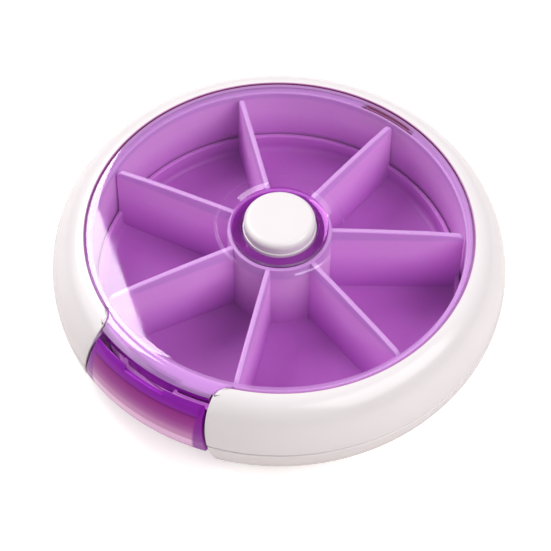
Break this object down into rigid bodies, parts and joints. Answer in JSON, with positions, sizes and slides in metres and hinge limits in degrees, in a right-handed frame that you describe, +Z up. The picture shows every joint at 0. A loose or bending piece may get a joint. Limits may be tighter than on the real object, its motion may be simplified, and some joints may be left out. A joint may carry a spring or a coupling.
{
  "type": "rotating pill organizer",
  "caption": "Round rotating pill organizer: a push button indexes a compartment tray under a clear lid, with a hinged outlet door in the rim.",
  "frame": {"origin": "centre of the foot's bottom face, on the tray's axis", "axes": "+Z up along the tray's axis, -Y towards the outlet door"},
  "size_m": [0.09, 0.09, 0.0256],
  "materials": {
    "white_shell": "gloss",
    "tray_purple": "satin",
    "lid_clear": "clear gloss",
    "door_violet": "translucent gloss",
    "button_white": "gloss",
    "mechanism": "satin",
    "steel": "bright"
  },
  "bodies": {
    "housing": {"upper_shell": "white_shell", "lower_shell": "white_shell", "liner_ring": "tray_purple", "lid_window": "lid_clear", "detent_leaf": "steel", "hinge_pin_left": "steel", "hinge_pin_right": "steel", "return_spring": "steel"},
    "button": {"push_button": "button_white", "cam_plunger": "mechanism"},
    "driver": {"index_driver": "mechanism"},
    "tray": {"pill_tray": "tray_purple", "ratchet_ring": "mechanism"},
    "door": {"outlet_door": "door_violet"}
  },
  "joints": [
    {"name": "button_press", "type": "slide", "parent": "housing", "child": "button", "axis": [0, 0, -1], "range_m": [0, 0.004], "stiffness_N_per_m": 300, "springref_m": -0.003, "deforming": ["return_spring"]},
    {"name": "driver_turn", "type": "hinge", "parent": "housing", "child": "driver", "pos_m": [0, 0, 0.0026], "axis": [0, 0, 1], "range_deg": [0, 51.5]},
    {"name": "tray_turn", "type": "hinge", "parent": "housing", "child": "tray", "pos_m": [0, 0, 0.0031], "axis": [0, 0, 1], "continuous": true},
    {"name": "door_swing", "type": "hinge", "parent": "housing", "child": "door", "pos_m": [0, -0.0404, 0.011], "axis": [1, 0, 0], "range_deg": [0, 70]}
  ],
  "couplings": [
    {"joint": "driver_turn", "follows": "button_press", "rad_per_m": 224.4}
  ]
}
